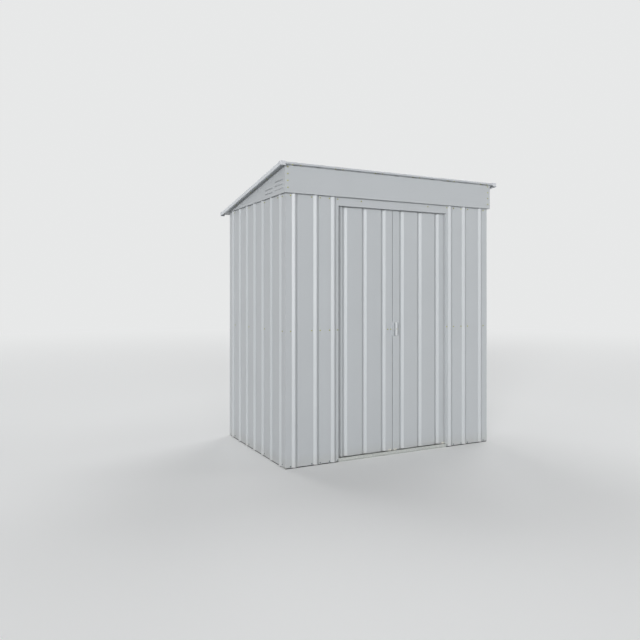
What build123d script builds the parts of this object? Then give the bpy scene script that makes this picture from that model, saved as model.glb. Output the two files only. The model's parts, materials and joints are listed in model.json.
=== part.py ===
from build123d import *
import math
import os

# Pent metal shed of rib-pressed sheet steel, with two sliding doors in its front wall.
# Units are millimetres. While the pieces are drawn, X runs right along the front from the
# outer left corner, Y runs to the rear from the face of the front wall and Z runs up from
# the ground. The last section moves them all to the part's frame.

# Sheet and rail thickness
sheet_t = 1.0
rail_t = 1.5

# Walls
wall_width = 1680.0
wall_depth = 1094.0
wall_top = 1776.0
sheet_lift = 6.0            # gap between the ground and the lower edge of the wall sheets

# Pressed ribs
rib_pitch = 155.0
rib_base = 40.0             # width where the rib leaves the flat
rib_crest = 6.0             # width of its flat top
rib_depth = 10.0
rib_radius = 5.0
lap_stop = 4.0              # a lapping rib ends this far short of the far base

# Rib places
front_rib_inset = 65.0      # outer corner of the shed to the first rib of the front, rear and roof
side_rib_inset = 82.0
jamb_rib_gap = 37.0         # edge of the doorway to the rib beside it
door_rib_inset = 77.5       # middle of the doorway, and outer edge of a door, to the next rib

# Doorway
jamb_inset = 388.0          # outer corner to the edge of the doorway
jamb_return = 21.0          # jambs and header turn in this deep, in front of the doors
header_height = 57.0        # head of the doorway to the top of the wall
corner_return = 20.0        # front and rear sheets turn in behind the side sheets

# Rails
rail_height = 40.0
rail_depth = 25.0
front_rail_depth = 19.0     # shallower, because the doors slide behind these rails
mid_rail_z = 885.0
floor_rail_width = 35.0
floor_rail_height = 30.0

# Door leaves
door_recess = 30.0          # front of the wall flats to the front of the door flats
door_gap = 5.0              # between the closed doors
jamb_cover = 13.0           # closed door behind the jamb
head_cover = 13.0           # door behind the header
door_sink = 1.0             # foot of the door below the upper edge of the track's front lip
door_edge_fold = 11.0
door_rail_height = 35.0
door_rail_depth = 15.0
door_rail_drop = 2.0        # top rail below the upper edge of the door sheet

# Bottom track, whose front lip closes the foot of the doorway
track_height = 25.0
track_width = 71.0
track_rear_lip = 12.0
guide_height = 14.0
guide_width = 3.0

# Top track, a trough that the door runners ride in
trough_lift = 8.0           # trough above the upper edge of the door sheet
trough_width = 18.0
trough_edge = 8.0
trough_offset = 6.0         # guide line to the trough's front face

# Door runners and glides
runner_length = 30.0
runner_inset = 60.0         # door edge to the middle of a runner
runner_play = 2.0           # beside the trough and the guide
running_gap = 0.3
runner_set_back = 1.0       # neck of the runner behind the face of the door's top rail
runner_neck = 6.0
hook_clearance = 5.0        # under the hook, above the trough's edge
hook_thickness = 9.0
glide_length = 24.0
glide_inset = 20.0
glide_reach = 16.0          # below the door's bottom rail
glide_width = 14.0
slot_height = 12.0
shoe_floor = 4.0            # part of the glide under the foot of the door
shoe_tab_t = 3.0            # tab of the glide in front of the door
shoe_tab_height = 8.0

# Padlock brackets
flange_height = 92.0
flange_proud = 30.0
flange_radius = 8.0
plate_height = 96.0
left_plate_width = 48.0
right_plate_width = 32.0
left_flange_offset = 6.0    # doorway centre line to the flange
right_flange_offset = 21.0
handle_z = 880.0
padlock_hole = 10.0
hole_set_out = 3.0          # middle of the flange to the padlock hole, outwards

# Fascia and gable panels
fascia_proud = 20.0
gable_proud = 13.0
panel_skirt = 10.0          # the faces hang this far below their lower flanges
panel_flange_stop = 60.0    # gable flanges end this far before the rear wall

# Louvres, and their places as (Y, height above the wall)
louvre_length = 129.0
louvre_height = 9.0
louvre_proud = 4.0
hood_top_t = 2.0            # thickness of the hood above the slot
hood_lip_t = 1.2
louvre_places = [(12.0, 32.0), (12.0, 58.5), (12.0, 85.0), (182.0, 28.0), (182.0, 54.5)]

# Roof
roof_fall = 0.157           # drop for each millimetre towards the rear
roof_seat = 1.5             # roof underside above the wall top, at the rear face
side_overhang = 53.0
front_overhang = 45.0
rear_overhang = 72.0
purlin_y = 570.0
trim_t = 1.2
trim_bend = 4.0
end_trim_top = 22.0
end_trim_foot = 14.0
side_trim_top = 26.0
side_trim_foot = 10.0
side_trim_drop = 11.0
side_trim_lip = 8.0
sheet_inset = 6.0           # sheet edge behind the trim's face

# Roof corner caps
cap_length = 34.0
cap_wall = 2.0
cap_gap = 0.2
cap_drop = 12.5
cap_radius = 4.0
cut_past = 1.0              # a cut runs this far past what it opens

# Derived places
centre_x = wall_width / 2
inner = sheet_t             # inside face of the wall flats
rear_inner = wall_depth - sheet_t
rails_x0 = inner + sheet_t
rails_x1 = wall_width - rails_x0
header_z = wall_top - header_height
jamb_rib_inset = jamb_inset - jamb_rib_gap
door_bottom = track_height - door_sink
door_top = header_z + head_cover
door_x0 = jamb_inset - jamb_cover
door_x1 = centre_x - door_gap / 2
trough_floor = door_top + trough_lift
roof_angle = math.degrees(math.atan(roof_fall))
slope = math.hypot(1, roof_fall)
rib_run = (rib_base - rib_crest) / 2
rib_top = rib_depth + 2 * sheet_t
door_rail_y = door_recess + sheet_t + rib_depth
guide_y = door_rail_y + door_rail_depth / 2


def roof_z(y):
    """Height of the roof's underside at depth y."""
    return wall_top + roof_seat + roof_fall * (wall_depth - y)


def plate(x0, x1, y0, y1, z0, z1):
    """Box between two corners."""
    return Pos((x0 + x1) / 2, (y0 + y1) / 2, (z0 + z1) / 2) * Box(x1 - x0, y1 - y0, z1 - z0)


def up(section, z0, z1):
    """Run a section drawn as (X, Y) upwards."""
    return extrude(Pos(0, 0, z0) * section, amount=z1 - z0, dir=(0, 0, 1))


def along_x(section, x0, x1):
    """Run a section drawn as (Y, Z) to the right."""
    return extrude(Plane.YZ.offset(x0) * section, amount=x1 - x0, dir=(1, 0, 0))


def along_y(section, y0, y1):
    """Run a section drawn as (X, Z) to the rear."""
    return extrude(Plane.XZ.offset(-y0) * section, amount=y1 - y0, dir=(0, 1, 0))


def mirrored(solid):
    """The same piece on the other side of the shed."""
    return mirror(solid, Plane.YZ.offset(centre_x))


def on_roof(solid):
    """Move a piece drawn flat (across, down the slope, up from the underside) to the roof."""
    return Pos(0, 0, roof_z(0)) * Rot(-roof_angle, 0, 0) * solid


def spread(first, last):
    """Rib places from first to last, as near to the rib pitch as divides evenly."""
    gaps = round((last - first) / rib_pitch)
    return [first + k * (last - first) / gaps for k in range(gaps + 1)]


def ribbed_line(start, end, ribs, lap=None):
    """Points (along, out) of a sheet's inside face. No start or end means that the sheet
    stops at the base of its end rib. The rib at lap lies over the next sheet's rib."""
    line = [] if start is None else [(start, 0.0)]
    for centre in ribs:
        lift = sheet_t if centre == lap else 0.0
        reach = rib_base / 2 + lift * rib_run / rib_depth
        rib = [(centre - rib_crest / 2, rib_depth + lift), (centre + rib_crest / 2, rib_depth + lift)]
        near, far = (centre - reach, 0.0), (centre + reach, 0.0)
        stop = (rib_base / 2 - lap_stop, lift + lap_stop * rib_depth / rib_run)
        if centre == lap and centre == ribs[0]:
            near = (centre - stop[0], stop[1])
        if centre == lap and centre == ribs[-1]:
            far = (centre + stop[0], stop[1])
        line += [near, *rib, far]
    return line if end is None else line + [(end, 0.0)]


def sheet_face(line, place):
    """Section of a sheet, with place turning (along, out) into drawing points."""
    inside = FilletPolyline(*[place(u, v) for u, v in line], radius=rib_radius)
    outside = FilletPolyline(*[place(u, v + sheet_t) for u, v in line], radius=rib_radius)
    return make_face([inside, outside, Line(inside @ 0, outside @ 0), Line(inside @ 1, outside @ 1)])


def folded(points, thickness, bend=0.0):
    """Section of a folded strip. Positive thickness lies on the left of the line."""
    steps = [(bx - ax, by - ay) for (ax, ay), (bx, by) in zip(points, points[1:])]
    normals = [(-dy / math.hypot(dx, dy), dx / math.hypot(dx, dy)) for dx, dy in steps]
    back = []
    line_radii = []
    back_radii = []
    for index, (x, y) in enumerate(points):
        before = normals[max(index - 1, 0)]
        after = normals[min(index, len(normals) - 1)]
        reach = thickness / (1 + before[0] * after[0] + before[1] * after[1])
        back.append((x + (before[0] + after[0]) * reach, y + (before[1] + after[1]) * reach))
        if 0 < index < len(points) - 1:
            turns_left = before[0] * after[1] - before[1] * after[0] > 0
            inside = turns_left == (thickness > 0)
            line_radii.append(bend + abs(thickness) if inside else bend)
            back_radii.append(bend if inside else bend + abs(thickness))
    if not bend:
        return make_face(Polyline(*points, *reversed(back), close=True))
    face_line = FilletPolyline(*points, radius=line_radii)
    back_line = FilletPolyline(*back, radius=back_radii)
    ends = [Line(face_line @ 0, back_line @ 0), Line(face_line @ 1, back_line @ 1)]
    return make_face([face_line, back_line, *ends])


nodes = {}


# Wall sheets. Ribs stand outwards, and where two sheets meet one rib lies over the other.
def on_front(u, v):
    return (u, inner - v)


def on_rear(u, v):
    return (u, rear_inner + v)


def on_left(u, v):
    return (inner - v, u)


def wall_sheet(line, place):
    return up(sheet_face(line, place), sheet_lift, wall_top)


rear_ribs = spread(front_rib_inset, wall_width - front_rib_inset)
front_ribs = [*rear_ribs[:2], jamb_rib_inset]
front_corner = wall_sheet(ribbed_line(inner, None, front_ribs[:2]), on_front)
front_corner += plate(inner, rails_x0, 0, inner + corner_return, sheet_lift, wall_top)
nodes["front_left_corner_sheet"] = front_corner
nodes["front_right_corner_sheet"] = mirrored(front_corner)

front_jamb = wall_sheet(ribbed_line(None, jamb_inset, front_ribs[1:], lap=front_ribs[1]), on_front)
front_jamb += plate(jamb_inset - sheet_t, jamb_inset, 0, jamb_return, track_height, header_z)
nodes["front_left_jamb_sheet"] = front_jamb
nodes["front_right_jamb_sheet"] = mirrored(front_jamb)

nodes["door_header"] = along_x(
    folded([(jamb_return, header_z), (0, header_z), (0, wall_top)], -sheet_t),
    jamb_inset, wall_width - jamb_inset,
)

side_ribs = spread(side_rib_inset, wall_depth - side_rib_inset)
middle = len(side_ribs) // 2
left_front = wall_sheet(ribbed_line(0, None, side_ribs[:middle + 1]), on_left)
left_rear = wall_sheet(ribbed_line(None, wall_depth, side_ribs[middle:], lap=side_ribs[middle]), on_left)
nodes["left_wall_front_sheet"] = left_front
nodes["left_wall_rear_sheet"] = left_rear
nodes["right_wall_front_sheet"] = mirrored(left_front)
nodes["right_wall_rear_sheet"] = mirrored(left_rear)

middle = len(rear_ribs) // 2
rear_fold = plate(inner, rails_x0, rear_inner - corner_return, wall_depth, sheet_lift, wall_top)
rear_left = wall_sheet(ribbed_line(inner, None, rear_ribs[:middle + 1]), on_rear)
rear_right = wall_sheet(
    ribbed_line(None, wall_width - inner, rear_ribs[middle:], lap=rear_ribs[middle]), on_rear)
nodes["rear_wall_left_sheet"] = rear_left + rear_fold
nodes["rear_wall_right_sheet"] = rear_right + mirrored(rear_fold)


# Base frame: angle rails on three sides and the zinc door track across the front
track_rear = inner + track_width
floor_front = rear_inner - floor_rail_width
left_floor = along_y(
    Pos(inner, 0) * folded([(floor_rail_width, 0), (0, 0), (0, floor_rail_height)], -rail_t),
    track_rear, floor_front,
)
nodes["left_floor_rail"] = left_floor
nodes["right_floor_rail"] = mirrored(left_floor)
nodes["rear_floor_rail"] = along_x(
    folded([(floor_front, 0), (rear_inner, 0), (rear_inner, floor_rail_height)], rail_t),
    rails_x0, rails_x1,
)
track = along_x(
    folded([(inner, track_height), (inner, 0), (track_rear, 0), (track_rear, track_rear_lip)], rail_t),
    rails_x0, rails_x1,
)
track += plate(
    rails_x0, rails_x1, guide_y - guide_width / 2, guide_y + guide_width / 2, rail_t / 2, guide_height
)
nodes["door_track"] = track


# Rails at mid height and along the top of the walls, open towards the inside
def channel(depth):
    return folded([(depth, 0), (0, 0), (0, rail_height), (depth, rail_height)], -rail_t)


mid_z = mid_rail_z - rail_height / 2
top_z = wall_top - rail_height
rear_rail_front = rear_inner - rail_depth
left_mid = along_y(Pos(inner, mid_z) * channel(rail_depth), inner + corner_return, rear_rail_front)
left_top = along_y(Pos(inner, top_z) * channel(rail_depth), inner + rail_depth, rear_rail_front)
nodes["left_mid_rail"] = left_mid
nodes["right_mid_rail"] = mirrored(left_mid)
nodes["left_top_rail"] = left_top
nodes["right_top_rail"] = mirrored(left_top)

front_mid = along_x(Pos(inner, mid_z) * channel(front_rail_depth), rails_x0, jamb_inset - sheet_t)
nodes["front_mid_rails"] = Compound([front_mid, mirrored(front_mid)])
nodes["front_top_rail"] = along_x(Pos(inner, top_z) * channel(rail_depth), rails_x0, rails_x1)
rear_mid = along_x(Pos(inner, mid_z) * channel(rail_depth), rails_x0, rails_x1)
nodes["rear_mid_rail"] = mirror(rear_mid, Plane.XZ.offset(-wall_depth / 2))
nodes["rear_top_rail"] = along_x(
    folded([
        (rear_rail_front, top_z), (rear_inner, top_z),
        (rear_inner, roof_z(rear_inner)), (rear_rail_front, roof_z(rear_rail_front)),
    ], rail_t),
    rails_x0, rails_x1,
)

trough_front = guide_y + trough_offset
trough_rear = trough_front + trough_width
track_arm_z = wall_top - 2 * rail_t
nodes["door_top_track"] = along_x(
    folded([
        (inner + rail_t, track_arm_z), (trough_rear, track_arm_z), (trough_rear, trough_floor),
        (trough_front, trough_floor), (trough_front, trough_floor + trough_edge),
    ], rail_t),
    inner + rail_depth, wall_width - inner - rail_depth,
)


# Fascia: a face with flanges under the roof and behind its skirt, and a foot on the wall top
skirt_z = wall_top + panel_skirt
panels_x0 = sheet_t - gable_proud
panels_x1 = wall_width - panels_x0
fascia = along_x(
    folded([
        (inner, skirt_z), (-fascia_proud, skirt_z),
        (-fascia_proud, roof_z(-fascia_proud)), (rail_depth, roof_z(rail_depth)),
    ], -sheet_t),
    panels_x0, panels_x1,
)
fascia += along_x(
    folded([(inner + rail_depth, wall_top), (0, wall_top), (0, skirt_z + sheet_t)], -sheet_t),
    0, wall_width,
)
gable_front = sheet_t - fascia_proud
fascia_face = make_face(Polyline(
    (-fascia_proud, wall_top), (gable_front, wall_top), (gable_front, roof_z(gable_front)),
    (-fascia_proud, roof_z(-fascia_proud)), close=True,
))
fascia += along_x(fascia_face, -gable_proud, wall_width + gable_proud)
nodes["front_fascia"] = fascia

# Gable panels: a face that tapers to the rear, three flanges, a foot and pressed louvres
flange_end = wall_depth - panel_flange_stop


def under_roof(y0, y1, drop):
    """Strip in (Y, Z) that lies under the roof, drop high."""
    return make_face(Polyline(
        (y0, roof_z(y0)), (y1, roof_z(y1)), (y1, roof_z(y1) - drop), (y0, roof_z(y0) - drop), close=True
    ))


def louvre_hood(y, z):
    """Wedge-shaped hood, open below."""
    wedge = make_face(Polyline(
        (sheet_t - gable_proud, z), (sheet_t - gable_proud, z + louvre_height),
        (-gable_proud, z + louvre_height), (-gable_proud - louvre_proud, z), close=True,
    ))
    return along_y(wedge, y, y + louvre_length)


def louvre_slot(y, z):
    """Space behind a hood, cut through the panel."""
    rise = louvre_height - hood_top_t
    space = make_face(Polyline(
        (sheet_t - gable_proud, z), (sheet_t - gable_proud, z + rise),
        (-gable_proud, z + rise), (hood_lip_t - gable_proud - louvre_proud, z), close=True,
    ))
    return along_y(space, y + sheet_t, y + louvre_length - sheet_t)


gable_face = make_face(Polyline(
    (gable_front, wall_top), (wall_depth, wall_top), (wall_depth, roof_z(wall_depth)),
    (gable_front, roof_z(gable_front)), close=True,
))
gable = along_x(gable_face, -gable_proud, sheet_t - gable_proud)
gable += plate(-gable_proud, inner, inner, flange_end, skirt_z, skirt_z + sheet_t)
gable += plate(0, inner, inner, flange_end, wall_top, skirt_z + sheet_t)
gable += plate(0, inner + rail_depth, inner + rail_depth, flange_end, wall_top, wall_top + sheet_t)
gable += along_x(under_roof(gable_front, flange_end, sheet_t), -gable_proud, rail_depth)
front_flange = under_roof(gable_front, gable_front + sheet_t, roof_z(gable_front + sheet_t) - skirt_z)
gable += along_x(front_flange, -gable_proud, rail_depth)
for louvre_y, above_wall in louvre_places:
    gable += louvre_hood(louvre_y, wall_top + above_wall)
    gable -= louvre_slot(louvre_y, wall_top + above_wall)
gable -= fascia
nodes["left_gable_panel"] = gable
nodes["right_gable_panel"] = mirrored(gable)


# Roof pieces are drawn flat as (across, down the slope, up) and then laid on the slope
roof_x0 = -side_overhang
roof_x1 = wall_width + side_overhang
roof_v0 = -front_overhang * slope
roof_v1 = (wall_depth + rear_overhang) * slope


def on_flat(u, v):
    return (u, v)


def roof_sheet(line):
    return on_roof(along_y(sheet_face(line, on_flat), roof_v0 + sheet_inset, roof_v1 - sheet_inset))


third = len(rear_ribs) // 3
left_ribs = rear_ribs[:third + 1]
right_ribs = rear_ribs[-third - 1:]
nodes["roof_left_sheet"] = roof_sheet(
    ribbed_line(roof_x0 + sheet_inset, None, left_ribs, lap=left_ribs[-1]))
nodes["roof_middle_sheet"] = roof_sheet(ribbed_line(None, None, rear_ribs[third:-third]))
nodes["roof_right_sheet"] = roof_sheet(
    ribbed_line(None, roof_x1 - sheet_inset, right_ribs, lap=right_ribs[0]))

purlin = on_roof(along_x(
    Pos(purlin_y * slope, -rail_height) * channel(rail_depth),
    panels_x0, panels_x1,
))
nodes["roof_purlin"] = purlin - gable - mirrored(gable)

end_trim = folded([
    (end_trim_foot, -trim_t), (0, -trim_t), (0, rib_top + trim_t), (end_trim_top, rib_top + trim_t),
], -trim_t, bend=trim_bend)
front_trim = along_x(end_trim, roof_x0 + trim_t, roof_x1 - trim_t)
nodes["roof_front_trim"] = on_roof(Pos(0, roof_v0, 0) * front_trim)
nodes["roof_rear_trim"] = on_roof(Pos(0, roof_v1, 0) * mirror(front_trim, Plane.XZ))

side_trim_section = folded([
    (side_trim_lip, -side_trim_drop), (0, -side_trim_drop), (0, rib_top + trim_t),
    (side_trim_top, rib_top + trim_t), (side_trim_top, sheet_t + trim_t),
    (side_trim_top + side_trim_foot, sheet_t + trim_t),
], -trim_t)
side_trim = on_roof(along_y(Pos(roof_x0, 0) * side_trim_section, roof_v0 + end_trim_top, roof_v1 - end_trim_top))
nodes["roof_left_trim"] = side_trim
nodes["roof_right_trim"] = mirrored(side_trim)


def corner_cap():
    """Moulded cap over the front left corner, open inwards and below."""
    wall = cap_wall + cap_gap
    top = rib_top + trim_t + wall
    block = plate(roof_x0 - wall, roof_x0 + cap_length, roof_v0 - wall, roof_v0 + cap_length, -cap_drop, top)
    outer_edges = block.edges().filter_by(Axis.Z).sort_by(lambda e: e.center().X + e.center().Y)[:1]
    block = fillet(outer_edges, cap_radius)
    space = plate(
        roof_x0 - cap_gap, roof_x0 + cap_length + cut_past,
        roof_v0 - cap_gap, roof_v0 + cap_length + cut_past,
        -cap_drop - cut_past, top - cap_wall,
    )
    return block - space


front_cap = corner_cap()
middle_v = (roof_v0 + roof_v1) / 2
rear_cap = mirror(front_cap, Plane.XZ.offset(-middle_v))
left_caps = [on_roof(front_cap), on_roof(rear_cap)]
nodes["roof_corner_caps"] = Compound(left_caps + [mirrored(cap) for cap in left_caps])


# Door leaves. The ribs are pressed inwards, and both edges are folded in.
def on_door(u, v):
    return (u, door_recess + v)


door_ribs = spread(door_x0 + door_rib_inset, centre_x - door_rib_inset)
door_sheet = up(sheet_face(ribbed_line(door_x0, door_x1, door_ribs), on_door), door_bottom, door_top)
for edge_x in (door_x0, door_x1 - sheet_t):
    door_sheet += plate(
        edge_x, edge_x + sheet_t, door_recess, door_recess + door_edge_fold, door_bottom, door_top
    )
nodes["left_door_sheet"] = door_sheet
nodes["right_door_sheet"] = mirrored(door_sheet)

door_rail = along_x(Pos(door_rail_y, door_bottom) * folded([
    (door_rail_depth, 0), (0, 0), (0, door_rail_height), (door_rail_depth, door_rail_height),
], -rail_t), door_x0 + 2 * sheet_t, door_x1 - 2 * sheet_t)
top_shift = door_top - door_rail_drop - door_rail_height - door_bottom
door_top_rail = Pos(0, 0, top_shift) * door_rail
nodes["left_door_bottom_rail"] = door_rail
nodes["right_door_bottom_rail"] = mirrored(door_rail)
nodes["left_door_top_rail"] = door_top_rail
nodes["right_door_top_rail"] = mirrored(door_top_rail)

# Runners hook over the edge of the trough. Glides hold the foot of the door like a shoe and
# straddle the guide of the bottom track.
neck_z = door_top - door_rail_drop
neck_front = door_rail_y + runner_set_back
neck_rear = neck_front + runner_neck
hook_under = trough_floor + trough_edge + hook_clearance
hook_top = hook_under + hook_thickness
hook_section = make_face(Polyline(
    (neck_front, neck_z), (neck_rear, neck_z), (neck_rear, hook_under),
    (trough_front + runner_play, hook_under), (trough_front + runner_play, trough_floor + running_gap),
    (trough_rear - runner_play, trough_floor + running_gap), (trough_rear - runner_play, hook_top),
    (neck_front, hook_top), close=True,
))
slot = guide_width + 2 * runner_play
glide_foot = door_bottom - glide_reach
glide_front = guide_y - glide_width / 2
shoe_front = door_recess - shoe_tab_t
glide_section = make_face(Polyline(
    (shoe_front, door_bottom - shoe_floor), (glide_front, door_bottom - shoe_floor),
    (glide_front, glide_foot), (guide_y - slot / 2, glide_foot),
    (guide_y - slot / 2, glide_foot + slot_height), (guide_y + slot / 2, glide_foot + slot_height),
    (guide_y + slot / 2, glide_foot), (guide_y + glide_width / 2, glide_foot),
    (guide_y + glide_width / 2, door_bottom), (door_recess, door_bottom),
    (door_recess, door_bottom + shoe_tab_height), (shoe_front, door_bottom + shoe_tab_height), close=True,
))


def pair(section, inset, length):
    """Two like mouldings near the ends of the door."""
    middles = (door_x0 + inset, door_x1 - inset)
    return [along_x(section, middle - length / 2, middle + length / 2) for middle in middles]


runners = pair(hook_section, runner_inset, runner_length)
glides = pair(glide_section, glide_inset, glide_length)
nodes["left_door_runners"] = Compound(runners)
nodes["right_door_runners"] = Compound([mirrored(r) for r in runners])
nodes["left_door_glides"] = Compound(glides)
nodes["right_door_glides"] = Compound([mirrored(g) for g in glides])


def padlock_bracket(flange_x, plate_width, side):
    """D-shaped plate on the door with a flange turned out at its straight edge. The plate
    runs to the left with side -1 and to the right with side 1."""
    plate_y = door_recess - rail_t
    shape = Pos(flange_x, handle_z) * Ellipse(plate_width, plate_height / 2)
    half = Pos(flange_x + side * plate_width / 2, handle_z) * Rectangle(plate_width, plate_height)
    bracket = along_y(shape & half, plate_y, door_recess)
    reach = door_recess - flange_proud
    blade = Pos((plate_y + reach) / 2, handle_z) * Rectangle(plate_y - reach, flange_height)
    blade = fillet(blade.vertices().group_by(Axis.X)[0], flange_radius)
    blade -= Pos((plate_y + reach) / 2 - hole_set_out, handle_z) * Circle(padlock_hole / 2)
    blade += Pos(door_recess - rail_t / 2, handle_z) * Rectangle(rail_t, flange_height)
    start = flange_x if side > 0 else flange_x - rail_t
    return bracket + along_x(blade, start, start + rail_t)


nodes["left_door_handle"] = padlock_bracket(centre_x - left_flange_offset, left_plate_width, -1)
nodes["right_door_handle"] = padlock_bracket(centre_x + right_flange_offset, right_plate_width, 1)


# The part's frame has its origin on the ground, under the middle of the whole shed
os.makedirs("parts", exist_ok=True)
box = Compound(list(nodes.values())).bounding_box()
shift = Pos(-centre_x, -(box.min.Y + box.max.Y) / 2, 0)
print("shift to the frame", round(-centre_x, 3), round(-(box.min.Y + box.max.Y) / 2, 3))
print("size", [round(v, 1) for v in box.size])
for name, shape in nodes.items():
    export_step(shift * shape, f"parts/{name}.step")
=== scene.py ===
import json
import math

import bpy
from mathutils import Matrix, Vector


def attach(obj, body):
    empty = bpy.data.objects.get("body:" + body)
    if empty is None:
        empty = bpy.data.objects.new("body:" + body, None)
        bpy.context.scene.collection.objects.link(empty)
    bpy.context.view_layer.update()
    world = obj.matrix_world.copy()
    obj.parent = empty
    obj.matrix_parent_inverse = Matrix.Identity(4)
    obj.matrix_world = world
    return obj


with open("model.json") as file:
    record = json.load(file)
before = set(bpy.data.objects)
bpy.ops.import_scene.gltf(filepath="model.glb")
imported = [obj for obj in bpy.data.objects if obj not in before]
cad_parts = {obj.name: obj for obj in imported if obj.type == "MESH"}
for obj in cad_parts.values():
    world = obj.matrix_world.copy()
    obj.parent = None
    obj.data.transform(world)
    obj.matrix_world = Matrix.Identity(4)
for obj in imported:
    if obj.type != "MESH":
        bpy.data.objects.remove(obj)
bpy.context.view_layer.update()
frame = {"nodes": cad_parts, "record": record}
bpy.ops.object.select_all(action="DESELECT")

# Walls, in metres. Left and front are the outer faces of the flats between the ribs.
WALL_WIDTH, WALL_DEPTH, WALL_TOP = 1.680, 1.094, 1.776
WALL_LEFT, WALL_FRONT = -WALL_WIDTH / 2, -0.560725
SHEET_T = 0.001
SHEET_LIFT = 0.006          # ground to the lower edge of the wall sheets
RAIL_SKIN = 0.0018          # wall face to the middle of a floor rail's upright leg

# Doorway and doors
DOORWAY_HALF = 0.452        # middle of the doorway to its side
DOOR_RECESS = 0.030         # front of the wall flats to the front of the door flats
PLATE_T = 0.0015            # padlock plate, on the front of the door
PLAIN_TO, HIGHLIGHT_FROM = 0.002, 0.004      # padlock flange's painted highlight: none up to the first and full from the second, from the front of the door outwards

# Fascia, gables and roof
FASCIA_PROUD = 0.020        # in front of the wall flats
GABLE_PROUD = 0.013         # outside the wall flats
ROOF_FALL = 0.157           # drop for each metre towards the rear
ROOF_SEAT = 0.0015          # roof underside above the wall top, at the rear face
TRIM_T = 0.0012

# Screws and sealing washers
HEAD_RADIUS, HEAD_HEIGHT = 0.0042, 0.0026
HEAD_ROUNDING = HEAD_HEIGHT * 0.45
RECESS_BAR = (HEAD_RADIUS * 1.15, HEAD_RADIUS * 0.24, HEAD_HEIGHT * 0.9)
RECESS_TURN = 37            # degrees from one screw to the next
WASHER_RADIUS, WASHER_HEIGHT = 0.0072, 0.0016
WASHER_SLOPE, WASHER_DOME = WASHER_RADIUS * 0.35, WASHER_HEIGHT * 0.5
HEAD_ON_WASHER = 0.0020     # sheet to the foot of a head, which is sunk in the washer's dome

# Dust at the foot of the shed, and painted shade and a painted dark reflection there, as colours, heights in
# metres and shares
DUST, DUST_TOP, DUST_SHARE = "#A8A59C", 0.09, 0.55
# Painted dark reflection on the screws at the foot of the walls
DARK_REFLECTION, DARK_REFLECTION_FULL, DARK_REFLECTION_TOP = "#6A7375", 0.03, 0.06
# Painted shade in the gap below the wall sheets, weaker in the open doorway
SHADE_BELOW_SHEETS, SHADE_FADE, SHADE_IN_DOORWAY = "#2E3233", 0.003, 0.25
DOORWAY_FADE = 0.002

# Floor, backdrop and soft light. Near and far are metres from the middle of the shed.
BACKDROP, BACKDROP_STRENGTH = "#F0F1F1", 0.92
FLOOR_SIZE = 400            # side of the floor
FLOOR_NEAR, FLOOR_FAR = 3.5, 16.0
GLOW_NEAR, GLOW_FAR = 0.8, 2.6
GLOW_CLOSE, GLOW_AWAY = 0.24, 0.30      # strength of the floor's glow within near and past far
SOFT_STRENGTH = 0.14

# Camera at the photograph's place, with its lens
CAMERA_PLACE = (-2.455, -4.210, 1.126)
CAMERA_TURN = -27.06        # degrees from straight ahead, negative to the right
SENSOR_WIDTH, FOCAL_LENGTH = 36, 34.93          # millimetres
CAMERA_SHIFT = -0.0405      # share of the picture's width

camera = bpy.data.objects.new("camera", bpy.data.cameras.new("camera"))
bpy.context.scene.collection.objects.link(camera)
camera.location = CAMERA_PLACE
camera.rotation_euler = (math.radians(90), 0, math.radians(CAMERA_TURN))
camera.data.sensor_width = SENSOR_WIDTH
camera.data.lens = FOCAL_LENGTH
camera.data.shift_y = CAMERA_SHIFT
bpy.context.scene.camera = camera


# Materials
def linear(colour):
    """sRGB hex colour as linear RGBA."""
    channels = [int(colour[i:i + 2], 16) / 255 for i in (1, 3, 5)]
    return [c / 12.92 if c <= 0.04045 else ((c + 0.055) / 1.055) ** 2.4 for c in channels] + [1.0]


def add(tree, kind, inputs=None, **settings):
    """Add a node. Each input is a value, another node's output, or a node for its first one."""
    made = tree.nodes.new(kind)
    for name, value in settings.items():
        setattr(made, name, value)
    for socket, value in (inputs or {}).items():
        if isinstance(value, bpy.types.Node):
            value = value.outputs[0]
        if isinstance(value, bpy.types.NodeSocket):
            tree.links.new(value, made.inputs[socket])
        else:
            made.inputs[socket].default_value = value
    return made


def new_material(name):
    """An empty material, its node tree and the place on the shed in metres."""
    material = bpy.data.materials.new(name)
    material.use_nodes = True
    tree = material.node_tree
    tree.nodes.clear()
    return material, tree, add(tree, "ShaderNodeTexCoord").outputs["Object"]


def per_metre(size):
    """Scale of a pattern whose patches are size millimetres across."""
    return 1000 / size


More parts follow.
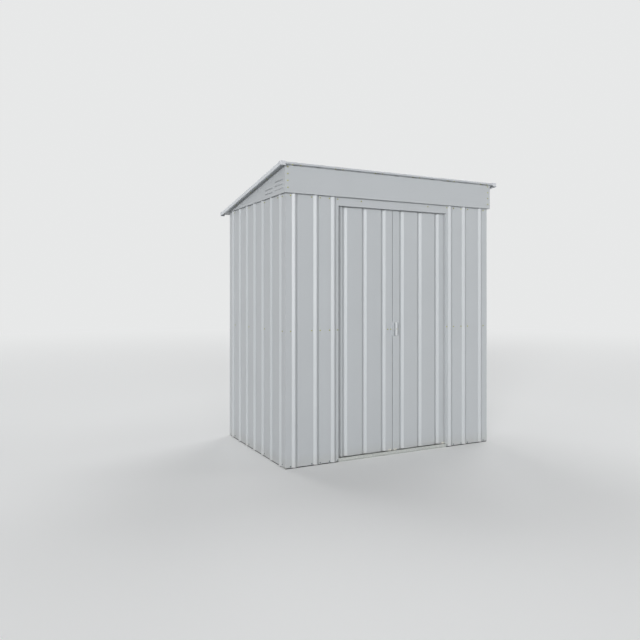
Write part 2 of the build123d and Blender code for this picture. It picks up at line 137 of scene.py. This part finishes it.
def coil_coated_steel(name, colour, shade, roughness=0.38):
    """Coil-coated sheet steel: baked satin polyester over zinc. It is smooth, with the
    slight waviness that rolling leaves in thin sheet, and new but for dust at its foot."""
    material, tree, place = new_material(name)
    # Cloudy tone, up to 3 % darker in patches of about 300 mm
    cloud = add(tree, "ShaderNodeTexNoise", {
        "Vector": place, "Scale": per_metre(312.5), "Detail": 3.0, "Roughness": 0.55})
    paint = add(tree, "ShaderNodeMixRGB", {0: cloud, 1: linear(shade), 2: linear(colour)})
    # Dried dust at the foot, broken up by 25 mm splashes
    height = add(tree, "ShaderNodeSeparateXYZ", {0: place}).outputs["Z"]
    foot = add(tree, "ShaderNodeMapRange", {0: height, 1: 0.0, 2: DUST_TOP, 3: DUST_SHARE, 4: 0.0})
    splash = add(tree, "ShaderNodeTexNoise", {
        "Vector": place, "Scale": per_metre(25), "Detail": 4.0, "Roughness": 0.6})
    dirt = add(tree, "ShaderNodeMath", {0: foot, 1: splash}, operation="MULTIPLY")
    tone = add(tree, "ShaderNodeMixRGB", {0: dirt, 1: paint, 2: linear(DUST)})
    # Gloss that wanders a little, as on any baked coat
    gloss = add(tree, "ShaderNodeMapRange", {
        0: splash, 1: 0.3, 2: 0.7, 3: roughness - 0.03, 4: roughness + 0.04})
    # Waviness of rolled sheet, 200 mm across, 570 mm up the sheet and 0.3 mm deep
    stretched = add(tree, "ShaderNodeMapping", {"Vector": place, "Scale": (1.0, 1.0, 0.35)})
    wave = add(tree, "ShaderNodeTexNoise", {"Vector": stretched, "Scale": per_metre(200), "Detail": 1.0})
    # Orange peel of the baked coat, 3 mm across
    peel = add(tree, "ShaderNodeTexNoise", {"Vector": place, "Scale": per_metre(3.03), "Detail": 2.0})
    hollow = add(tree, "ShaderNodeBump", {"Height": wave, "Strength": 0.5, "Distance": 0.0006})
    skin = add(tree, "ShaderNodeBump", {
        "Height": peel, "Strength": 0.25, "Distance": 0.00008, "Normal": hollow})
    shader = add(tree, "ShaderNodeBsdfPrincipled", {
        "Base Color": tone, "Roughness": gloss, "Normal": skin,
        "IOR": 1.45, "Coat Weight": 0.06, "Coat Roughness": 0.34})
    add(tree, "ShaderNodeOutputMaterial", {"Surface": shader})
    return material


def padlock_bracket_steel(name, colour, highlight_colour):
    """Padlock bracket: satin paint on its plate, and a paler colour where the flange is turned out for the
    padlock, a painted highlight for the light that the flange catches."""
    material = coil_coated_steel(name, colour, colour)
    tree = material.node_tree
    shader = next(node for node in tree.nodes if node.type == "BSDF_PRINCIPLED")
    painted = shader.inputs["Base Color"].links[0].from_socket
    place = add(tree, "ShaderNodeTexCoord").outputs["Object"]
    depth = add(tree, "ShaderNodeSeparateXYZ", {0: place}).outputs["Y"]
    door_face = WALL_FRONT + DOOR_RECESS
    # Painted highlight: the turned-out flange is paler
    turned_out = add(tree, "ShaderNodeMapRange", {
        0: depth, 1: door_face - HIGHLIGHT_FROM, 2: door_face - PLAIN_TO, 3: 1.0, 4: 0.0})
    tone = add(tree, "ShaderNodeMixRGB", {0: turned_out, 1: painted, 2: linear(highlight_colour)})
    tree.links.new(tone.outputs[0], shader.inputs["Base Color"])
    return material


def painted_shade_below_sheets(tree, place, open_half):
    """Mask of the painted shade: 1 on the outward side of the base frame, where it shows below the wall
    sheets, and less within open_half of the middle, in the open doorway."""
    axes = add(tree, "ShaderNodeSeparateXYZ", {0: place}).outputs
    across = add(tree, "ShaderNodeMath", {0: axes["X"]}, operation="ABSOLUTE")
    beside = add(tree, "ShaderNodeMath", {0: across, 1: WALL_WIDTH / 2 - RAIL_SKIN}, operation="SUBTRACT")
    depth = add(tree, "ShaderNodeMath", {0: axes["Y"], 1: WALL_FRONT + WALL_DEPTH / 2}, operation="SUBTRACT")
    along = add(tree, "ShaderNodeMath", {0: depth}, operation="ABSOLUTE")
    beyond = add(tree, "ShaderNodeMath", {0: along, 1: WALL_DEPTH / 2 - RAIL_SKIN}, operation="SUBTRACT")
    furthest = add(tree, "ShaderNodeMath", {0: beside, 1: beyond}, operation="MAXIMUM")
    outside = add(tree, "ShaderNodeMath", {0: furthest, 1: 0.0}, operation="GREATER_THAN")
    low = add(tree, "ShaderNodeMapRange", {
        0: axes["Z"], 1: SHEET_LIFT, 2: SHEET_LIFT + SHADE_FADE, 3: 1.0, 4: 0.0})
    covered = add(tree, "ShaderNodeMapRange", {
        0: across, 1: open_half - DOORWAY_FADE, 2: open_half + DOORWAY_FADE, 3: SHADE_IN_DOORWAY, 4: 1.0})
    foot = add(tree, "ShaderNodeMath", {0: outside, 1: low}, operation="MULTIPLY")
    return add(tree, "ShaderNodeMath", {0: foot, 1: covered}, operation="MULTIPLY")


def zinc_coated_steel(name, open_half=None):
    """Hot-dip galvanised strip: unpainted metal with a fine spangle of flat crystals. They are about 4 mm
    across and drawn at 9 mm, because at 4 mm they don't show. Base frame strip has an open_half, and is
    painted dark below the wall sheets: painted shade for the gap under them."""
    material, tree, place = new_material(name)
    spangle = add(tree, "ShaderNodeTexVoronoi", {
        "Vector": place, "Scale": per_metre(9.09), "Randomness": 1.0})
    crystal = add(tree, "ShaderNodeSeparateColor", {0: spangle.outputs["Color"]}).outputs
    tone = add(tree, "ShaderNodeMixRGB", {0: crystal[0], 1: linear("#CBCECB"), 2: linear("#DADCD8")})
    # Painted shade below the wall sheets, where shade falls in the gap, weaker in the open doorway
    if open_half is not None:
        shade_mask = painted_shade_below_sheets(tree, place, open_half)
        tone = add(tree, "ShaderNodeMixRGB", {0: shade_mask, 1: tone, 2: linear(SHADE_BELOW_SHEETS)})
    gloss = add(tree, "ShaderNodeMapRange", {0: crystal[1], 1: 0.0, 2: 1.0, 3: 0.34, 4: 0.48})
    # Slightly uneven coat, in patches of 2.4 mm
    grain = add(tree, "ShaderNodeTexNoise", {"Vector": place, "Scale": per_metre(2.38), "Detail": 3.0})
    relief = add(tree, "ShaderNodeBump", {"Height": grain, "Strength": 0.3, "Distance": 0.0001})
    shader = add(tree, "ShaderNodeBsdfPrincipled", {
        "Base Color": tone, "Metallic": 0.85, "Roughness": gloss, "Normal": relief})
    add(tree, "ShaderNodeOutputMaterial", {"Surface": shader})
    return material


def yellow_zinc(name):
    """Screws plated with zinc and yellow passivate: a straw gold that turns green in patches of a few
    millimetres. The screws at the foot of the walls are painted dark grey, a painted dark reflection of the
    ground."""
    material, tree, place = new_material(name)
    film = add(tree, "ShaderNodeTexNoise", {"Vector": place, "Scale": per_metre(3.846), "Detail": 2.0})
    tone = add(tree, "ShaderNodeMixRGB", {0: film, 1: linear("#8F9250"), 2: linear("#B8B768")})
    # Painted dark reflection: dark grey at the foot of the walls
    height = add(tree, "ShaderNodeSeparateXYZ", {0: place}).outputs["Z"]
    foot = add(tree, "ShaderNodeMapRange", {0: height, 1: DARK_REFLECTION_FULL, 2: DARK_REFLECTION_TOP, 3: 1.0, 4: 0.0})
    tone = add(tree, "ShaderNodeMixRGB", {0: foot, 1: tone, 2: linear(DARK_REFLECTION)})
    shader = add(tree, "ShaderNodeBsdfPrincipled", {"Base Color": tone, "Metallic": 0.9, "Roughness": 0.34})
    add(tree, "ShaderNodeOutputMaterial", {"Surface": shader})
    return material


def moulded_plastic(name, colour, shade, roughness, grain_size):
    """Injection-moulded part with the matt grain of a sparked mould. The grain is finer than
    a millimetre and drawn at 1 to 2 mm, because finer grain doesn't show."""
    material, tree, place = new_material(name)
    # Slightly uneven colour, in patches of 18 mm
    cloud = add(tree, "ShaderNodeTexNoise", {"Vector": place, "Scale": per_metre(18.18), "Detail": 2.0})
    tone = add(tree, "ShaderNodeMixRGB", {0: cloud, 1: linear(shade), 2: linear(colour)})
    grain = add(tree, "ShaderNodeTexNoise", {"Vector": place, "Scale": per_metre(grain_size), "Detail": 2.0})
    relief = add(tree, "ShaderNodeBump", {"Height": grain, "Strength": 0.4, "Distance": 0.0001})
    shader = add(tree, "ShaderNodeBsdfPrincipled", {
        "Base Color": tone, "Roughness": roughness, "IOR": 1.5, "Normal": relief})
    add(tree, "ShaderNodeOutputMaterial", {"Surface": shader})
    return material


wall_paint = coil_coated_steel("satin_coil_coated_steel", "#B9BDC0", "#B4B8BB")
# The trims have the walls' paint. Their paler colours are painted light, and the side trims' palest one is
# painted sunlight.
trim_paint = coil_coated_steel("satin_coil_coated_trim", "#BEC2C6", "#B9BDC1", roughness=0.36)
side_trim_painted_sunlight = coil_coated_steel("satin_coil_coated_side_trim_painted_sunlight", "#D3D7DB", "#CED2D6", roughness=0.36)
bracket_steel = padlock_bracket_steel("padlock_bracket_steel", "#B9BDC0", "#E9ECEE")
zinc = zinc_coated_steel("zinc_coated_steel")
floor_rail_zinc = zinc_coated_steel("zinc_coated_floor_rail_steel", open_half=0.0)
track_zinc = zinc_coated_steel("zinc_coated_track_steel", open_half=DOORWAY_HALF)
plating = yellow_zinc("yellow_passivated_zinc")
cap_plastic = moulded_plastic(
    "moulded_polypropylene", "#CBCDD2", "#C5C8CC", roughness=0.5, grain_size=1.429)
nylon = moulded_plastic("moulded_nylon", "#DAD9D1", "#CFCEC6", roughness=0.42, grain_size=2)
sealing_rubber = moulded_plastic(
    "sealing_washer_rubber", "#8E9193", "#83868A", roughness=0.6, grain_size=1.111)

slot_finishes = {
    "painted_steel": wall_paint, "trim_paint": trim_paint, "zinc_steel": zinc,
    "cap_plastic": cap_plastic, "glide_nylon": nylon,
}
node_finishes = {
    "right_door_handle": bracket_steel, "roof_left_trim": side_trim_painted_sunlight, "roof_right_trim": side_trim_painted_sunlight,
    "left_floor_rail": floor_rail_zinc, "right_floor_rail": floor_rail_zinc,
    "rear_floor_rail": floor_rail_zinc, "door_track": track_zinc,
}
for row in frame["record"]["subparts"]:
    finish = node_finishes.get(row["node"], slot_finishes[row["material_slot"]])
    for material_slot in frame["nodes"][row["node"]].material_slots:
        material_slot.material = finish


# Screws and sealing washers
def active(piece):
    """Select this piece alone."""
    bpy.ops.object.select_all(action="DESELECT")
    piece.select_set(True)
    bpy.context.view_layer.objects.active = piece


def bake_place(piece):
    """Put the piece's place and size into its mesh."""
    active(piece)
    bpy.ops.object.transform_apply(location=True, rotation=True, scale=True)


def edit_top(piece):
    """Open a piece for editing with only the faces that look up selected."""
    active(piece)
    bpy.ops.object.mode_set(mode="EDIT")
    bpy.ops.mesh.select_all(action="DESELECT")
    bpy.ops.object.mode_set(mode="OBJECT")
    for face in piece.data.polygons:
        face.select = face.normal.z > 0.9
    bpy.ops.object.mode_set(mode="EDIT")


def dress(piece, finish, smooth_angle):
    """Give a pattern its finish, and smooth edges that turn less than smooth_angle degrees."""
    piece.data.materials.clear()
    piece.data.materials.append(finish)
    active(piece)
    bpy.ops.object.shade_smooth_by_angle(angle=math.radians(smooth_angle))


def pan_head_screw(name):
    """Pan head with a cross recess, pointing up from the origin."""
    bpy.ops.mesh.primitive_cylinder_add(
        vertices=20, radius=HEAD_RADIUS, depth=HEAD_HEIGHT, location=(0, 0, HEAD_HEIGHT / 2))
    head = bpy.context.object
    head.name = name
    edit_top(head)
    bpy.ops.mesh.bevel(offset=HEAD_ROUNDING, segments=3)
    bpy.ops.object.mode_set(mode="OBJECT")
    bake_place(head)
    # Two crossed bars, half sunk in the top, are taken out of the head
    bpy.ops.mesh.primitive_cube_add(size=1, location=(0, 0, HEAD_HEIGHT))
    bar = bpy.context.object
    bar.scale = RECESS_BAR
    bake_place(bar)
    bpy.ops.object.mode_set(mode="EDIT")
    bpy.ops.mesh.select_all(action="SELECT")
    bpy.ops.mesh.duplicate()
    bpy.ops.transform.rotate(
        value=math.radians(90), orient_axis="Z", center_override=(0, 0, HEAD_HEIGHT))
    bpy.ops.object.mode_set(mode="OBJECT")
    active(head)
    recess = head.modifiers.new("recess", "BOOLEAN")
    recess.object = bar
    recess.operation = "DIFFERENCE"
    recess.solver = "EXACT"
    recess.use_self = True
    bpy.ops.object.modifier_apply(modifier="recess")
    bpy.data.objects.remove(bar)
    dress(head, plating, smooth_angle=35)
    return head


def sealing_washer(name):
    """Domed rubber washer under a roof screw."""
    bpy.ops.mesh.primitive_cylinder_add(
        vertices=24, radius=WASHER_RADIUS, depth=WASHER_HEIGHT, location=(0, 0, WASHER_HEIGHT / 2))
    ring = bpy.context.object
    ring.name = name
    edit_top(ring)
    bpy.ops.mesh.inset(thickness=WASHER_SLOPE)
    bpy.ops.transform.translate(value=(0, 0, WASHER_DOME))
    bpy.ops.object.mode_set(mode="OBJECT")
    bake_place(ring)
    dress(ring, sealing_rubber, smooth_angle=40)
    return ring


def fit(name, patterns, places, body):
    """Put each (pattern, lift) at each (place, facing) and join the copies into one piece."""
    copies = []
    for index, (place, facing) in enumerate(places):
        turn = Vector(facing).to_track_quat("Z", "Y").to_matrix().to_4x4()
        twist = Matrix.Rotation(math.radians(RECESS_TURN * index % 90), 4, "Z")
        for pattern, lift in patterns:
            copy = pattern.copy()
            copy.data = pattern.data.copy()
            copy.data.transform(
                Matrix.Translation(place) @ turn @ twist @ Matrix.Translation((0, 0, lift)))
            bpy.context.scene.collection.objects.link(copy)
            copies.append(copy)
    active(copies[0])
    if len(copies) > 1:
        for copy in copies:
            copy.select_set(True)
        bpy.ops.object.join()
    piece = bpy.context.object
    piece.name = name
    piece.data.name = name
    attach(piece, body)


# Places of the screws, in millimetres from the outer left corner of the front wall
width_mm, depth_mm = WALL_WIDTH * 1000, WALL_DEPTH * 1000


def mm(x, y, z):
    """A place in millimetres as a place in the frame."""
    return Vector((WALL_LEFT + x / 1000, WALL_FRONT + y / 1000, z / 1000))


def both(xs):
    """The same places from both outer corners."""
    return list(xs) + [width_mm - x for x in xs]


def roof_underside(y):
    """Height of the roof sheets' underside at this depth."""
    return WALL_TOP * 1000 + ROOF_SEAT * 1000 + ROOF_FALL * (depth_mm - y)


front_xs, front_zs = both((36, 188, 250, 320, 382)), (14, 886, 1762)
header_xs, header_z = (566, 1126), 1759
side_rows = {20: (50, 357, 662, 967), 885: (50, 357, 662, 967), 1760: (50, 121, 357, 662, 983)}
rear_xs, rear_zs = both((36, 188, 343, 498, 653, 808)), (20, 885, 1760)
fascia_xs, fascia_y, fascia_zs = both((8,)), -FASCIA_PROUD * 1000, (1809, 1853, 1897, 1941)
first_roof_rib, roof_rib_pitch, roof_ribs = 63.5, 311, 6
roof_rib_xs = [first_roof_rib + roof_rib_pitch * rib for rib in range(roof_ribs)]
trim_y, beside_trim_rib = -37, 29
roof_ys, beside_roof_rib = (15, 580, 1070), 36
gable_ys, beside_gable = (187, 267, 496, 574, 808, 885), 8
beside_wall = GABLE_PROUD * 1000 + beside_gable
plate_xs = {"left": (799, 824), "right": (880,)}
plate_y, plate_z = (DOOR_RECESS - PLATE_T) * 1000, 878

TO_FRONT, TO_REAR, TO_LEFT, TO_RIGHT = (0, -1, 0), (0, 1, 0), (-1, 0, 0), (1, 0, 0)
UNDER_ROOF = Vector((0, -ROOF_FALL, -1)).normalized()
OVER_ROOF = Vector((0, ROOF_FALL, 1)).normalized()

screw = pan_head_screw("screw_pattern")
washer = sealing_washer("washer_pattern")

front_places = [(mm(x, 0, z), TO_FRONT) for x in front_xs for z in front_zs]
front_places += [(mm(x, 0, header_z), TO_FRONT) for x in header_xs]
fit("front_wall_screws", [(screw, 0)], front_places, "shed")

for side, x, facing in (("left", 0, TO_LEFT), ("right", width_mm, TO_RIGHT)):
    places = [(mm(x, y, z), facing) for z, row in side_rows.items() for y in row]
    fit(f"{side}_wall_screws", [(screw, 0)], places, "shed")

rear_places = [(mm(x, depth_mm, z), TO_REAR) for x in rear_xs for z in rear_zs]
fit("rear_wall_screws", [(screw, 0)], rear_places, "shed")

fascia_places = [(mm(x, fascia_y, z), TO_FRONT) for x in fascia_xs for z in fascia_zs]
fit("fascia_screws", [(screw, 0)], fascia_places, "shed")

# Driven up through the foot of the front trim, one on each side of a roof rib
trim_places = [
    (mm(x + side, trim_y, roof_underside(trim_y)) + UNDER_ROOF * TRIM_T, UNDER_ROOF)
    for x in roof_rib_xs for side in (-beside_trim_rib, beside_trim_rib)]
fit("trim_screws", [(screw, 0)], trim_places, "shed")

# Driven up into the roof beside the gables
for side, x in (("left", -beside_wall), ("right", width_mm + beside_wall)):
    places = [(mm(x, y, roof_underside(y)), UNDER_ROOF) for y in gable_ys]
    fit(f"{side}_gable_screws", [(screw, 0)], places, "shed")

# Driven down through the roof sheets, on both sides of a rib
roof_places = [
    (mm(x + side, y, roof_underside(y)) + OVER_ROOF * SHEET_T, OVER_ROOF)
    for x in roof_rib_xs for side in (-beside_roof_rib, beside_roof_rib) for y in roof_ys]
fit("roof_screws", [(washer, 0), (screw, HEAD_ON_WASHER)], roof_places, "shed")

for side, xs in plate_xs.items():
    places = [(mm(x, plate_y, plate_z), TO_FRONT) for x in xs]
    fit(f"{side}_handle_screws", [(screw, 0)], places, f"{side}_door")

bpy.data.objects.remove(screw)
bpy.data.objects.remove(washer)


# Floor, backdrop and light
def seen_directly(tree):
    """1 for rays from the camera, a reflection or a clear material, and 0 for light."""
    rays = add(tree, "ShaderNodeLightPath").outputs
    seen = add(tree, "ShaderNodeMath", {
        0: rays["Is Camera Ray"], 1: rays["Is Glossy Ray"]}, operation="MAXIMUM")
    return add(tree, "ShaderNodeMath", {0: seen, 1: rays["Is Transmission Ray"]}, operation="MAXIMUM")


bpy.ops.mesh.primitive_plane_add(size=FLOOR_SIZE, location=(0, 0, 0))
floor = bpy.context.object
floor.name = "floor"
material, tree, place = new_material("pale_studio_floor")
pale = add(tree, "ShaderNodeBsdfDiffuse", {"Color": linear("#D2D3D3")})
distance = add(tree, "ShaderNodeVectorMath", {0: place}, operation="LENGTH").outputs["Value"]
# The floor glows less close to the shed, so that the shadow at its foot shows
glow = add(tree, "ShaderNodeMapRange", {
    0: distance, 1: GLOW_NEAR, 2: GLOW_FAR, 3: GLOW_CLOSE, 4: GLOW_AWAY}, interpolation_type="SMOOTHSTEP")
lift = add(tree, "ShaderNodeEmission", {"Color": linear(BACKDROP), "Strength": glow})
near = add(tree, "ShaderNodeAddShader", {0: pale, 1: lift})
# Far from the shed the floor turns into the backdrop, so that no horizon shows
far = add(tree, "ShaderNodeEmission", {"Color": linear(BACKDROP), "Strength": BACKDROP_STRENGTH})
fade = add(tree, "ShaderNodeMapRange", {
    0: distance, 1: FLOOR_NEAR, 2: FLOOR_FAR, 3: 0.0, 4: 1.0}, interpolation_type="SMOOTHSTEP")
shown = add(tree, "ShaderNodeMixShader", {0: fade, 1: near, 2: far})
# As a source of light the floor is a little darker, so that undersides stay dark
paving = add(tree, "ShaderNodeBsdfDiffuse", {"Color": linear("#C6C6C5")})
shader = add(tree, "ShaderNodeMixShader", {0: seen_directly(tree), 1: paving, 2: shown})
add(tree, "ShaderNodeOutputMaterial", {"Surface": shader})
floor.data.materials.append(material)

world = bpy.data.worlds.new("studio")
bpy.context.scene.world = world
world.use_nodes = True
tree = world.node_tree
tree.nodes.clear()
soft = add(tree, "ShaderNodeBackground", {"Color": linear("#F8F9FC"), "Strength": SOFT_STRENGTH})
seen = add(tree, "ShaderNodeBackground", {"Color": linear(BACKDROP), "Strength": BACKDROP_STRENGTH})
mix = add(tree, "ShaderNodeMixShader", {0: seen_directly(tree), 1: soft, 2: seen})
add(tree, "ShaderNodeOutputWorld", {"Surface": mix})


def far_lamp(name, azimuth, height, power, spread=25):
    """Soft lamp far away, azimuth degrees to the right of the front and height degrees up.
    Seen from the shed it is spread degrees wide."""
    bpy.ops.object.light_add(type="SUN", location=(0, 0, 5))
    lamp = bpy.context.object
    lamp.name = name
    lamp.data.angle = math.radians(spread)
    lamp.data.energy = power
    turn, rise = math.radians(azimuth), math.radians(height)
    back = Vector((math.sin(turn) * math.cos(rise), -math.cos(turn) * math.cos(rise), math.sin(rise)))
    lamp.rotation_euler = back.to_track_quat("Z", "Y").to_euler()


far_lamp("key", azimuth=-47, height=6, power=2.4, spread=15)
far_lamp("front", azimuth=-12, height=8, power=0.65)
far_lamp("right", azimuth=75, height=20, power=0.45)
far_lamp("rear_right", azimuth=125, height=40, power=1.0, spread=35)
far_lamp("rear", azimuth=-175, height=40, power=0.95, spread=35)

bpy.context.scene.view_settings.view_transform = "Standard"
